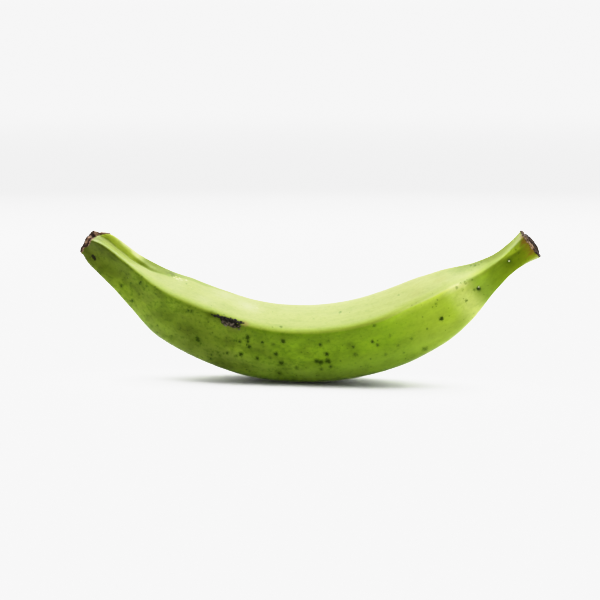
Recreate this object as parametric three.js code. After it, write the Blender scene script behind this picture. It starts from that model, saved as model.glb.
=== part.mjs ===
// A green plantain, picked from its bunch and lying on its belly with both ends raised.
// Millimetres. +X runs towards the stalk, -Y faces the front, +Z is up, and z = 0 is what it lies on.
// The peel, the cut stalk and the withered blossom end grew as one piece, so they are one closed body.
import * as THREE from "three";
import { mergeVertices } from "three/addons/utils/BufferGeometryUtils.js";

// ---- Driving sizes ----

// Stations from the blossom end to the cut stalk. x and z place the spine and reach is the distance from
// the spine to a ridge. hollow is how far the faces sink between the ridges (negative where they swell),
// groove how far they sink further beside the crest, and turn how far the ridges wind, in degrees.
const STATIONS = [
  { x: -124.0, z: 74.9, reach: 8.7, hollow: 0.6, groove: 0.8, turn: -4 },
  { x: -121.3, z: 73.3, reach: 10.5, hollow: 1.0, groove: 1.4, turn: -4 },
  { x: -118.0, z: 71.1, reach: 11.7, hollow: 1.1, groove: 1.8, turn: -6 },
  { x: -104.0, z: 59.8, reach: 13.2, hollow: 1.0, groove: 1.8, turn: -6 },
  { x: -91.4, z: 50.3, reach: 15.8, hollow: 0.3, groove: 1.0, turn: -1 },
  { x: -76.0, z: 39.7, reach: 20.3, hollow: -0.3, groove: 0.2, turn: -2 },
  { x: -55.0, z: 29.9, reach: 22.1, hollow: -0.6, groove: 0, turn: -5 },
  { x: -30.0, z: 22.4, reach: 22.7, hollow: -0.6, groove: 0, turn: -2 },
  { x: -4.0, z: 20.2, reach: 22.8, hollow: -0.6, groove: 0, turn: 0 },
  { x: 22.0, z: 22.4, reach: 22.9, hollow: -0.6, groove: 0, turn: 0 },
  { x: 47.0, z: 29.4, reach: 22.8, hollow: -0.6, groove: 0, turn: 1 },
  { x: 70.5, z: 40.9, reach: 21.0, hollow: -0.5, groove: 0, turn: 3 },
  { x: 85.0, z: 50.0, reach: 17.3, hollow: -0.2, groove: 0.2, turn: 3 },
  { x: 100.5, z: 60.7, reach: 10.4, hollow: 0.4, groove: 0.5, turn: 3 },
  { x: 111.0, z: 68.5, reach: 7.9, hollow: 0.5, groove: 0.5, turn: -3 },
  { x: 118.3, z: 74.2, reach: 8.3, hollow: 0.3, groove: 0.3, turn: -10 },
  { x: 124.0, z: 78.6, reach: 9.7, hollow: 0.0, groove: 0, turn: -15 },
];

// The five ridges, in degrees round the spine: the first is the crest, on the inner side of the curve,
// and 90 would be the front.
const RIDGE_DEGREES = [-5, 65, 143, 217, 290];
const CREST_SHARPNESS = 24; // the higher, the tighter the ridges and the flatter the faces
const BELLY_SHARPNESS = 7;
const GROOVE_LEAN = 0.6; // under 1 puts the grooves nearer the crest than the ridges beside it

// The two ends, turned on the spine: [share of the section, distance beyond the end].
const BLOSSOM_END = [[0, 3.3], [0.35, 3.9], [0.66, 3.9], [0.86, 3.1], [0.95, 2.0], [0.94, 0.6]];
const CUT_STALK = [[0.98, 0.7], [0.9, 1.3], [0.78, 1.5], [0.45, 2.6], [0, 3.1]];
const RAGGEDNESS = 0.1; // how unevenly the two ends stand out

const REST_DEPTH = 0.5; // how far the belly's peel is flattened where it lies
const RINGS = 92; // along the spine
const SIDES_PER_FACE = 8; // round the section, between two ridges
const SIDES_CROWDING = 0.08; // draws the sides of the section towards the ridges

// ---- The spine, and what varies along it ----

const spine = new THREE.CatmullRomCurve3(STATIONS.map(({ x, z }) => new THREE.Vector3(x, 0, z)));
const girth = new THREE.CatmullRomCurve3(
  STATIONS.map(({ reach, hollow, groove }) => new THREE.Vector3(reach, hollow, groove)),
);
const winding = new THREE.CatmullRomCurve3(
  STATIONS.map(({ x, turn }) => new THREE.Vector3(x, THREE.MathUtils.degToRad(turn), 0)),
);
const length = spine.getLength();

const FACES = RIDGE_DEGREES.map((start, i) => {
  const end = i + 1 < RIDGE_DEGREES.length ? RIDGE_DEGREES[i + 1] : RIDGE_DEGREES[0] + 360;
  const from = THREE.MathUtils.degToRad(start);
  const span = THREE.MathUtils.degToRad(end - start);
  return { from, span, middle: from + span / 2, inradius: Math.cos(span / 2) };
});
const SIDES = FACES.length * SIDES_PER_FACE;

// The section's radius at an angle, for ridges at unit reach: five faces with rounded corners, which are
// tightest at the crest and softest at the belly.
function fiveSided(angle) {
  const sharpness = THREE.MathUtils.lerp(BELLY_SHARPNESS, CREST_SHARPNESS, (1 + Math.cos(angle)) / 2);
  const pull = FACES.reduce((sum, { middle, inradius }) => {
    const lean = Math.cos(angle - middle);
    return lean > 0 ? sum + (lean / inradius) ** sharpness : sum;
  }, 0);
  return (2 / pull) ** (1 / sharpness);
}

// How far the section sinks below that, at a share of the way across one of its faces.
function sink(face, across, hollow, groove) {
  const bySide = { 0: across, [FACES.length - 1]: 1 - across };
  const fromCrest = bySide[face] ?? 0;
  return hollow * Math.sin(Math.PI * across) ** 2 + groove * Math.sin(Math.PI * fromCrest ** GROOVE_LEAN) ** 2;
}

// ---- The fruit ----

// A straight rod of unit radius and the fruit's length, with both ends turned.
function blank() {
  const profile = [
    ...BLOSSOM_END.map(([share, beyond]) => new THREE.Vector2(share, -beyond)),
    ...Array.from({ length: RINGS + 1 }, (_, i) => new THREE.Vector2(1, (length * i) / RINGS)),
    ...CUT_STALK.map(([share, beyond]) => new THREE.Vector2(share, length + beyond)),
  ];
  return new THREE.LatheGeometry(profile, SIDES);
}

// Bends the blank along the spine and gives it the five-sided section.
function grow(geometry) {
  const at = geometry.getAttribute("position");
  const up = new THREE.Vector3();
  const front = new THREE.Vector3(0, -1, 0);
  const point = new THREE.Vector3();
  for (let i = 0; i < at.count; i++) {
    point.fromBufferAttribute(at, i);
    const share = Math.hypot(point.x, point.z);
    const along = THREE.MathUtils.clamp(point.y, 0, length);

    const side = (Math.round((Math.atan2(point.x, point.z) / (2 * Math.PI)) * SIDES) + SIDES) % SIDES;
    const face = Math.floor(side / SIDES_PER_FACE);
    const across = (side % SIDES_PER_FACE) / SIDES_PER_FACE;
    const { from, span } = FACES[face];
    const angle = from + span * (across - SIDES_CROWDING * Math.sin(2 * Math.PI * across));

    const t = spine.getUtoTmapping(along / length);
    const { x: reach, y: hollow, z: groove } = girth.getPoint(t);
    const radius = share * (reach * fiveSided(angle) - sink(face, across, hollow, groove));
    const turned = angle + winding.getPoint(t).y;
    const ragged = 1 + RAGGEDNESS * share * (Math.sin(2 * angle + 1) + Math.sin(5 * angle));

    const tangent = spine.getTangent(t);
    up.set(-tangent.z, 0, tangent.x);
    point.copy(spine.getPoint(t))
      .addScaledVector(tangent, (at.getY(i) - along) * ragged)
      .addScaledVector(up, radius * Math.cos(turned))
      .addScaledVector(front, radius * Math.sin(turned));
    at.setXYZ(i, point.x, point.y, point.z);
  }
  geometry.deleteAttribute("normal");
  geometry.deleteAttribute("uv");
  return mergeVertices(geometry, 1e-4);
}

// Sets the fruit down: its belly is flattened at z = 0, and its box is centred over the origin.
function setDown(geometry) {
  geometry.computeBoundingBox();
  const { min, max } = geometry.boundingBox;
  geometry.translate(-(min.x + max.x) / 2, -(min.y + max.y) / 2, -min.z - REST_DEPTH);
  const at = geometry.getAttribute("position");
  for (let i = 0; i < at.count; i++) at.setZ(i, Math.max(at.getZ(i), 0));
  geometry.computeVertexNormals();
  return geometry;
}

const peel = new THREE.MeshStandardMaterial({ color: 0x8fb22e, roughness: 0.55, metalness: 0 });
const plantain = new THREE.Mesh(setDown(grow(blank())), peel);
plantain.name = "plantain";

const group = new THREE.Group();
group.add(plantain);
export default group;
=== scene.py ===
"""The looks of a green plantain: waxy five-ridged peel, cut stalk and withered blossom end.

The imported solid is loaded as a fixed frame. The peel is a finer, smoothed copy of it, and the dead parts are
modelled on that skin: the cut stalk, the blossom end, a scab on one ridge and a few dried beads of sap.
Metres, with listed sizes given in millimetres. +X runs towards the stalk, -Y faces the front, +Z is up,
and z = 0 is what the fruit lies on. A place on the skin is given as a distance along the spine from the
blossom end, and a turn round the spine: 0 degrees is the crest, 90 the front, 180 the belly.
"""

import logging
import math
import random
from contextlib import contextmanager
from dataclasses import dataclass, field
from enum import Enum
from typing import Iterator, Optional, Sequence, Union

import bpy
import numpy as np
from mathutils import Matrix, Vector, noise
from mathutils.bvhtree import BVHTree

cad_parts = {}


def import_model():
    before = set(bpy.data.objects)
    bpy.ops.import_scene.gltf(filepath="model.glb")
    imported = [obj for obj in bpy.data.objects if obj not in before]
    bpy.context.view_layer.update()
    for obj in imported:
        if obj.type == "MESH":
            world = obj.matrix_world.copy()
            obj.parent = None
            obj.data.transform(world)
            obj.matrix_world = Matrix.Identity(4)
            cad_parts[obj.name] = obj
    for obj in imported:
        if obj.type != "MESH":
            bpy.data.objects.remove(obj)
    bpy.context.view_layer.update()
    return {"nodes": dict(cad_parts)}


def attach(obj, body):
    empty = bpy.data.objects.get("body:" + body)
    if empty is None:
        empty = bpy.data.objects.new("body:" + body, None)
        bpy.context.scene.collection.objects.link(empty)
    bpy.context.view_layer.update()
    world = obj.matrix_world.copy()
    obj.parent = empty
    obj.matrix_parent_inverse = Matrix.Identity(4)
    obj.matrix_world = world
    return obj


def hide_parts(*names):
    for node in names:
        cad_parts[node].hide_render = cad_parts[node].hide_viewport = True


log = logging.getLogger("plantain")

MM = 0.001
BODY = "root"
NODE = "plantain"

Colour = tuple[float, float, float]
Socket = bpy.types.NodeSocket
Value = Union[float, Sequence[float], Socket]

BLACK: Colour = (0.0, 0.0, 0.0)
WHITE: Colour = (1.0, 1.0, 1.0)


# ---- Node trees ----


@dataclass(frozen=True)
class Fade:
    """A smooth change of a number, as another goes from start to end, which may be under start."""

    start: float
    end: float
    low: float = 0.0  # what it is up to the start
    high: float = 1.0  # and from the end on


def span(start: float, end: float, low: float = 0.0, high: float = 1.0) -> Fade:
    """A fade that starts and ends at distances in millimetres."""
    return Fade(start * MM, end * MM, low, high)


@dataclass(frozen=True)
class Noise:
    """Soft noise that may be finer one way than another."""

    lumps: tuple[float, float, float]  # to the metre along each axis
    detail: float = 3.0  # how many finer layers it has
    rough: float = 0.5  # how strong the finer layers are


class Nodes:
    """A node tree, and short calls for the nodes that are used in it."""

    def __init__(self, tree: bpy.types.NodeTree) -> None:
        """Takes up a tree."""
        self.tree = tree

    def feed(self, target: Socket, value: Value) -> None:
        """Links a socket into an input, or sets the input to a plain value.

        Args:
            target: the input.
            value: a socket, a number, a vector or a colour.
        """
        if isinstance(value, bpy.types.NodeSocket):
            self.tree.links.new(value, target)
        elif target.type == "RGBA":
            target.default_value = (*value, 1.0)
        else:
            target.default_value = value

    def add(
        self, kind: str, inputs: Optional[dict[Union[int, str], Value]] = None, **settings: object
    ) -> bpy.types.Node:
        """Adds a node.

        Args:
            kind: Blender's name for it without "ShaderNode".
            inputs: what goes into its inputs, by their names or numbers.
            settings: its settings.

        Returns:
            The node.
        """
        node = self.tree.nodes.new("ShaderNode" + kind)
        for name, setting in settings.items():
            setattr(node, name, setting)
        for key, value in (inputs or {}).items():
            self.feed(node.inputs[key], value)
        return node

    def ease(self, value: Value, start: Value, end: Value, low: float = 0.0, high: float = 1.0) -> Socket:
        """Goes smoothly from low to high as a value goes from start to end, which may be under start."""
        inputs = {"Value": value, "From Min": start, "From Max": end, "To Min": low, "To Max": high}
        return self.add("MapRange", inputs, interpolation_type="SMOOTHSTEP").outputs["Result"]


class Shader(Nodes):
    """A new material with a Principled surface."""

    def __init__(self, name: str) -> None:
        """Makes the material.

        Args:
            name: the material's name.
        """
        self.material = bpy.data.materials.new(name)
        self.material.use_nodes = True
        super().__init__(self.material.node_tree)
        self.tree.nodes.clear()
        self.surface = self.add("BsdfPrincipled")
        self.add("OutputMaterial", {"Surface": self.surface.outputs["BSDF"]})

    def set(self, **values: Value) -> None:
        """Sets or links inputs of the Principled surface, by their names with _ for a space."""
        for name, value in values.items():
            self.feed(self.surface.inputs[name.replace("_", " ")], value)

    def place(self) -> Socket:
        """The object's own coordinates, in metres."""
        return self.add("TexCoord").outputs["Object"]

    def attribute(self, name: str, output: str = "Fac") -> Socket:
        """A number that the mesh carries at its points, or with the output "Vector" a vector."""
        return self.add("Attribute", attribute_name=name).outputs[output]

    def stretch(
        self, vector: Value, scale: Sequence[float], shift: Sequence[float] = (0.0, 0.0, 0.0)
    ) -> Socket:
        """A vector scaled and then shifted along each axis."""
        node = self.add("VectorMath", {0: vector, 1: scale, 2: shift}, operation="MULTIPLY_ADD")
        return node.outputs["Vector"]

    def cloud(self, vector: Socket, scale: float, detail: float = 3.0, rough: float = 0.5) -> Socket:
        """Soft noise from 0 to 1 with its middle at 0.5, of a scale of lumps to the metre."""
        inputs = {"Vector": vector, "Scale": scale, "Detail": detail, "Roughness": rough}
        return self.add("TexNoise", inputs).outputs["Fac"]

    def noise(self, vector: Socket, pattern: Noise) -> Socket:
        """Soft noise that is finer one way than another."""
        return self.cloud(self.stretch(vector, pattern.lumps), 1.0, pattern.detail, pattern.rough)

    def wobble(self, vector: Socket, scale: float, reach: float) -> Socket:
        """A vector shaken by noise, which makes what is drawn by it ragged.

        Args:
            vector: the vector's socket.
            scale: how many lumps to the metre.
            reach: how far it is shaken, in metres.

        Returns:
            The shaken vector.
        """
        lumpy = self.add("TexNoise", {"Vector": vector, "Scale": scale, "Detail": 3.0}).outputs["Color"]
        centred = self.stretch(lumpy, (2 * reach,) * 3, (-reach,) * 3)
        return self.add("VectorMath", {0: vector, 1: centred}, operation="ADD").outputs["Vector"]

    def gap(self, vector: Socket, point: Sequence[float]) -> Socket:
        """How far a vector is from a fixed point."""
        return self.add("VectorMath", {0: vector, 1: point}, operation="DISTANCE").outputs["Value"]

    def split(self, vector: Socket) -> tuple[Socket, Socket, Socket]:
        """A vector's x, y and z."""
        return tuple(self.add("SeparateXYZ", {0: vector}).outputs)

    def grey(self, value: Socket) -> Socket:
        """A grey colour of a given brightness."""
        return self.add("CombineColor", {0: value, 1: value, 2: value}).outputs[0]

    def cells(self, vector: Socket, scale: float) -> tuple[Socket, Socket, Socket]:
        """Cell noise, for dots at random.

        Args:
            vector: where it is read.
            scale: how many cells to the metre.

        Returns:
            The distance from the cell's middle, in cells, and two random numbers of the cell.
        """
        node = self.add("TexVoronoi", {"Vector": vector, "Scale": scale}, feature="F1")
        first, second, _ = self.add("SeparateColor", {0: node.outputs["Color"]}).outputs
        return node.outputs["Distance"], first, second

    def fade(self, value: Value, fade: Fade) -> Socket:
        """A fade, driven by a value."""
        return self.ease(value, fade.start, fade.end, fade.low, fade.high)

    def reckon(self, operation: str, *values: Value) -> Socket:
        """One step of arithmetic on numbers, by Blender's name for it, such as "ADD" or "MAXIMUM"."""
        return self.add("Math", dict(enumerate(values)), operation=operation).outputs[0]

    def product(self, first: Socket, *others: Socket) -> Socket:
        """Numbers multiplied with one another."""
        for other in others:
            first = self.reckon("MULTIPLY", first, other)
        return first

    def blend(self, share: Value, base: Value, top: Value, how: str = "MIX") -> Socket:
        """Mixes two colours: the share is how much of the top one, and how is Blender's name for the way."""
        return self.add("Mix", {0: share, 6: base, 7: top}, data_type="RGBA", blend_type=how).outputs[2]

    def ramp(self, value: Socket, stops: Sequence[tuple[float, Colour]]) -> Socket:
        """A row of colours that a value runs through.

        Args:
            value: what drives it, from 0 to 1.
            stops: the place and colour of each stop.

        Returns:
            The colour.
        """
        node = self.add("ValToRGB", {"Fac": value})
        node.color_ramp.interpolation = "EASE"
        row = node.color_ramp.elements
        while len(row) < len(stops):
            row.new(1.0)
        for element, (place, colour) in zip(row, stops):
            element.position = place
            element.color = (*colour, 1.0)
        return node.outputs["Color"]

    def bump(self, height: Socket, depth: float, below: Optional[Socket] = None) -> Socket:
        """Fine relief for the surface's normal.

        Args:
            height: the relief, from 0 to 1.
            depth: how deep it is, in metres.
            below: a normal that it is laid over.

        Returns:
            The normal.
        """
        node = self.add("Bump", {"Height": height, "Distance": depth})
        if below is not None:
            self.feed(node.inputs["Normal"], below)
        return node.outputs["Normal"]


# ---- The fruit's own coordinates ----


@dataclass
class Spine:
    """The line the fruit grew along, and the five ridges that run beside it."""

    stations: tuple[tuple[float, float], ...] = (
        (-124.0, 74.9), (-118.0, 71.1), (-104.0, 59.8), (-91.4, 50.3), (-76.0, 39.7), (-55.0, 29.9),
        (-30.0, 22.4), (-4.0, 20.2), (22.0, 22.4), (47.0, 29.4), (70.5, 40.9), (85.0, 50.0),
        (100.5, 60.7), (111.0, 68.5), (118.3, 74.2), (124.0, 78.6),
    )  # x and z in millimetres
    ridges: tuple[float, ...] = (-5.0, 65.0, 143.0, 217.0, 290.0)  # degrees round the spine
    winding: tuple[tuple[float, float], ...] = (
        (-124.0, -4.0), (-118.0, -6.0), (-104.0, -6.0), (-91.4, -1.0), (-55.0, -5.0), (-4.0, 0.0),
        (70.5, 3.0), (100.5, 3.0), (111.0, -3.0), (118.3, -10.0), (124.0, -15.0),
    )  # x in millimetres, and how far the ridges have turned there
    steps: int = 24  # between two stations
    batch: int = 4096  # how many points are located at once
    line: np.ndarray = field(init=False)
    tangents: np.ndarray = field(init=False)
    ups: np.ndarray = field(init=False)
    along: np.ndarray = field(init=False)

    def __post_init__(self) -> None:
        """Runs a smooth curve through the stations."""
        given = np.array(self.stations) * MM
        given = np.vstack([2 * given[0] - given[1], given, 2 * given[-1] - given[-2]])
        points = [
            self._between(*given[i : i + 4], step / self.steps)
            for i in range(len(given) - 3)
            for step in range(self.steps)
        ]
        flat = np.array([*points, given[-2]])
        self.line = np.column_stack([flat[:, 0], np.zeros(len(flat)), flat[:, 1]])
        slopes = np.gradient(self.line, axis=0)
        self.tangents = slopes / np.linalg.norm(slopes, axis=1)[:, None]
        self.ups = np.column_stack([-self.tangents[:, 2], np.zeros(len(flat)), self.tangents[:, 0]])
        gaps = np.linalg.norm(np.diff(self.line, axis=0), axis=1)
        self.along = np.concatenate([[0.0], np.cumsum(gaps)])

    @staticmethod
    def _between(a: np.ndarray, b: np.ndarray, c: np.ndarray, d: np.ndarray, t: float) -> np.ndarray:
        """The point a share t of the way from b to c on the curve through a, b, c and d."""
        slope, fall, turn = c - a, 2 * a - 5 * b + 4 * c - d, 3 * b - a - 3 * c + d
        return 0.5 * (2 * b + slope * t + fall * t**2 + turn * t**3)

    @property
    def length(self) -> float:
        """The fruit's length along its spine."""
        return float(self.along[-1])

    def locate(self, points: np.ndarray) -> tuple[np.ndarray, np.ndarray, np.ndarray]:
        """Where points are in the fruit's own coordinates.

        Args:
            points: rows of x, y and z.

        Returns:
            The distance along the spine, the turn round it in degrees, and the distance from it.
        """
        batches = np.array_split(points, 1 + len(points) // self.batch)
        nearest = np.concatenate([np.argmin(self._gaps(batch), axis=1) for batch in batches])
        offset = points - self.line[nearest]
        beyond = (offset * self.tangents[nearest]).sum(1)
        offset = offset - self.tangents[nearest] * beyond[:, None]
        rise = (offset * self.ups[nearest]).sum(1)
        turn = np.degrees(np.arctan2(-offset[:, 1], rise))
        return self.along[nearest] + beyond, turn, np.linalg.norm(offset, axis=1)

    def _gaps(self, points: np.ndarray) -> np.ndarray:
        """The squared distances from points to the line's steps, less what is the same for each point."""
        return (self.line**2).sum(1) - 2 * points @ self.line.T

    def frame(self, along: float) -> tuple[Vector, Vector, Vector]:
        """The spine at a distance along it.

        Args:
            along: the distance, in metres.

        Returns:
            Its point, its direction and its upward direction.
        """
        line, tangent, up = (
            Vector([float(np.interp(along, self.along, rows[:, axis])) for axis in range(3)])
            for rows in (self.line, self.tangents, self.ups)
        )
        return line, tangent.normalized(), up.normalized()

    def unwound(self, along: np.ndarray, turn: np.ndarray) -> np.ndarray:
        """The turn without the ridges' winding.

        Args:
            along: distances along the spine, in metres.
            turn: the turns there.

        Returns:
            The turns from -180 to 180 degrees.
        """
        stations = np.array(self.winding)
        x = np.interp(along, self.along, self.line[:, 0]) / MM
        wound = np.interp(x, stations[:, 0], stations[:, 1])
        return (turn - wound + 180.0) % 360.0 - 180.0

    def unbent(self, points: np.ndarray) -> np.ndarray:
        """Points as if the fruit were straight: x along it, y towards the crest and z to the front."""
        along, turn, radius = self.locate(points)
        angle = np.radians(self.unwound(along, turn))
        return np.column_stack([along, radius * np.cos(angle), radius * np.sin(angle)])


@dataclass
class Skin:
    """The peel's surface, which marks and small pieces are placed on."""

    spine: Spine
    tree: BVHTree

    @classmethod
    def of(cls, spine: Spine, piece: bpy.types.Object) -> "Skin":
        """Reads the surface of a finished piece."""
        mesh = piece.data
        corners = [vertex.co for vertex in mesh.vertices]
        faces = [tuple(polygon.vertices) for polygon in mesh.polygons]
        return cls(spine, BVHTree.FromPolygons(corners, faces))

    def spot(self, along: float, turn: float) -> tuple[Vector, Vector]:
        """The skin's point and outward normal at a place.

        Args:
            along: the distance along the spine, in millimetres.
            turn: the turn round the spine, in degrees.

        Returns:
            The point and the normal.
        """
        centre, _, up = self.spine.frame(along * MM)
        angle = math.radians(turn)
        outwards = up * math.cos(angle) + Vector((0, -1, 0)) * math.sin(angle)
        point, normal, _, _ = self.tree.ray_cast(centre, outwards)
        return point, (normal if normal.dot(outwards) > 0 else -normal)


# ---- Making and dressing meshes ----


def deselect() -> None:
    """Leaves edit mode and deselects every object."""
    if bpy.context.object and bpy.context.object.mode != "OBJECT":
        bpy.ops.object.mode_set(mode="OBJECT")
    bpy.ops.object.select_all(action="DESELECT")


def pick(piece: bpy.types.Object) -> None:
    """Makes one object the only selected one, and the active one."""
    deselect()
    piece.select_set(True)
    bpy.context.view_layer.objects.active = piece


@contextmanager
def editing(piece: bpy.types.Object, whole: bool = True) -> Iterator[None]:
    """Opens a piece's mesh for editing.

    Args:
        piece: the piece.
        whole: whether all of it is selected, rather than the faces that are marked as such.

    Returns:
        What "with" needs to leave edit mode again.
    """
    pick(piece)
    if not whole:
        bpy.context.tool_settings.mesh_select_mode = (False, False, True)
    bpy.ops.object.mode_set(mode="EDIT")
    if whole:
        bpy.ops.mesh.select_all(action="SELECT")
    yield
    bpy.ops.object.mode_set(mode="OBJECT")


def copy_of(piece: bpy.types.Object, name: str) -> bpy.types.Object:
    """Puts a copy with a mesh of its own into the scene."""
    copy = bpy.data.objects.new(name, piece.data.copy())
    bpy.context.scene.collection.objects.link(copy)
    return copy


def keep_faces(piece: bpy.types.Object, kept: np.ndarray) -> None:
    """Deletes a mesh's faces but for the ones kept.

    Args:
        piece: the piece.
        kept: for each face, whether it stays.
    """
    piece.data.polygons.foreach_set("select", ~kept)
    with editing(piece, whole=False):
        bpy.ops.mesh.delete(type="FACE")


def points_of(piece: bpy.types.Object) -> np.ndarray:
    """A mesh's points as rows of x, y and z."""
    flat = np.empty(len(piece.data.vertices) * 3)
    piece.data.vertices.foreach_get("co", flat)
    return flat.reshape(-1, 3)


def centres_of(piece: bpy.types.Object) -> np.ndarray:
    """The middles of a mesh's faces as rows of x, y and z."""
    flat = np.empty(len(piece.data.polygons) * 3)
    piece.data.polygons.foreach_get("center", flat)
    return flat.reshape(-1, 3)


def normals_of(piece: bpy.types.Object) -> np.ndarray:
    """A mesh's point normals as rows of x, y and z."""
    return np.array([normal.vector for normal in piece.data.vertex_normals])


def move_points(piece: bpy.types.Object, points: np.ndarray) -> None:
    """Puts a mesh's points in new places."""
    piece.data.vertices.foreach_set("co", np.ascontiguousarray(points).ravel())
    piece.data.update()


def lumps(points: np.ndarray, size: float, seed: float, layers: int = 1) -> np.ndarray:
    """Smooth noise from -1 to 1 at rows of points.

    Args:
        points: rows of x, y and z.
        size: how wide the lumps are, in metres.
        seed: moves the pattern elsewhere.
        layers: how many finer layers it has, each half as wide and half as strong.

    Returns:
        A number for each point.
    """
    shift = Vector((seed, 2.3 * seed, 5.1 * seed))
    if layers == 1:
        return np.array([noise.noise(Vector(point) / size + shift) for point in points])
    return np.array([noise.fractal(Vector(point) / size + shift, 1.0, 2.0, layers) for point in points])


def step(values: np.ndarray, start: float, end: float) -> np.ndarray:
    """Goes smoothly from 0 to 1 as values go from start to end, which may be under start."""
    share = np.clip((values - start) / (end - start), 0, 1)
    return share * share * (3 - 2 * share)


def bell(values: np.ndarray, middle: float, width: Union[float, np.ndarray]) -> np.ndarray:
    """Is 1 where values are at the middle, and falls to a third at a width from it."""
    return np.exp(-(((values - middle) / width) ** 2))


def finish_mesh(piece: bpy.types.Object, material: bpy.types.Material) -> bpy.types.Object:
    """Shades a piece smoothly and gives it its one material.

    Args:
        piece: the piece, in place.
        material: its material.

    Returns:
        The same piece.
    """
    pick(piece)
    bpy.ops.object.shade_smooth()
    piece.data.materials.clear()
    piece.data.materials.append(material)
    return piece


def store(piece: bpy.types.Object, name: str, values: np.ndarray) -> None:
    """Keeps a number or a vector at each of a mesh's points, for its material.

    Args:
        piece: the piece.
        name: the attribute's name.
        values: a row for each point, or one number for all.
    """
    vector = np.ndim(values) == 2
    attribute = piece.data.attributes.new(name, "FLOAT_VECTOR" if vector else "FLOAT", "POINT")
    rows = np.broadcast_to(values, (len(piece.data.vertices), 3) if vector else len(piece.data.vertices))
    attribute.data.foreach_set("vector" if vector else "value", rows.astype(np.float32).ravel())


def apply_modifier(piece: bpy.types.Object, kind: str, **settings: object) -> None:
    """Adds a modifier with its settings and applies it.

    Args:
        piece: the piece.
        kind: Blender's name for the modifier.
        settings: its settings.
    """
    pick(piece)
    modifier = piece.modifiers.new(kind.title(), kind)
    for name, value in settings.items():
        setattr(modifier, name, value)
    bpy.ops.object.modifier_apply(modifier=modifier.name)


# ---- Finishes ----


@dataclass(frozen=True)
class Pigment:
    """How one kind of mark colours the peel."""

    colour: Colour
    how: str = "MIX"  # Blender's name for the way it mixes with the green
    edge: tuple[float, float] = (0.42, 0.72)  # the nearness to a mark's middle where it starts and is full
    strength: float = 1.0
    length: float = 1.0  # how much longer it is along the fruit than across it
    ragged: float = 0.35 * MM
    lump: float = 1.1 * MM  # how wide the lumps of its ragged edge are


class Blemish(Enum):
    """The kinds of mark on the peel, in the order that they are laid on."""

    CHALK = Pigment((0.26, 0.28, 0.15), "MIX", (0.0, 0.9), 0.50, 1.7, 2.6 * MM, 1.6 * MM)
    PALE = Pigment((1.32, 1.30, 1.35), "MULTIPLY", (0.0, 0.9), 1.0, 1.5, 2.5 * MM, 3.0 * MM)
    BLOTCH = Pigment((0.52, 0.54, 0.22), "MULTIPLY", (0.0, 0.9), 1.0, 1.6, 1.8 * MM, 2.0 * MM)
    HALO = Pigment((0.030, 0.057, 0.001), "MIX", (0.02, 0.50), 0.70, 1.0, 1.5 * MM, 1.0 * MM)
    FRECKLE = Pigment((0.008, 0.018, 0.0), "MIX", (0.34, 0.66), 1.0, 1.0, 1.3 * MM, 0.9 * MM)
    SCUFF = Pigment((0.42, 0.46, 0.17), "MIX", (0.30, 0.70), 0.85, 4.0, 0.8 * MM, 1.2 * MM)
    SAPPY = Pigment((0.075, 0.115, 0.002), "MIX", (0.20, 0.80), 0.90, 1.0, 1.2 * MM, 1.0 * MM)
    RUST = Pigment((0.135, 0.085, 0.032), "MIX", (0.1, 0.8), 0.60, 1.5, 0.9 * MM)
    SCRATCH = Pigment((0.004, 0.003, 0.002), "MIX", (0.30, 0.55), 1.0, 1.0, 0.5 * MM, 0.7 * MM)


DARK_MARKS = (Blemish.FRECKLE, Blemish.RUST, Blemish.SCRATCH)  # which are matt and a little sunk


@dataclass(frozen=True)
class Mark:
    """A mark on the peel."""

    along: float  # millimetres along the spine
    turn: float  # degrees round it
    size: float  # its radius in millimetres
    depth: float = 1.0  # how strong it is, from 0 to 1
    kind: Blemish = Blemish.FRECKLE


class Reading(Enum):
    """What the green's tones are placed by."""

    ALONG = "the distance from the blossom end"
    EDGE = "the distance above the lower border of the upper faces, negative below it"
    FORWARDS = "the distance from the spine towards the front"
    FORE = "1 from the crest forwards, and 0 behind it"
    LIME = "how strong the lime band above the upper ridges is, from 0 to 1"
    FURROW = "1 in the furrows beside the crest, and 0 away from them"
    CREST = "1 on the crest between the furrows, and 0 from them outwards"
    PATCHES = "wide soft noise"
    CLOUDS = "middling noise"
    FLECKS = "small noise"


Readings = dict[Reading, Socket]


@dataclass(frozen=True)
class Tint:
    """A colour that the skin takes on where all its readings are full."""

    colour: Colour
    where: tuple[tuple[Reading, Optional[Fade]], ...]  # with no fade, a reading is taken as it is
    how: str = "MULTIPLY"  # Blender's name for the way it mixes with the green


@dataclass(frozen=True)
class Speckle:
    """Dots at random, one at most in each cell of the skin."""

    cells: float  # to the metre
    shares: Fade  # the share of the cells that have a dot
    sizes: tuple[float, float]  # the smallest and the largest radius, in cells
    strength: float
    core: float  # the share of its radius in which a dot is full


DULL = Fade(0.52, 0.34, 0.0, 0.8)  # the patches' lower part, and their upper part
BRIGHT = Fade(0.52, 0.70, 0.0, 0.8)
TOWARDS_STALK = span(90.0, 220.0, 1.0, 0.25)  # how the dull patches and the dark clouds thin out


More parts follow.
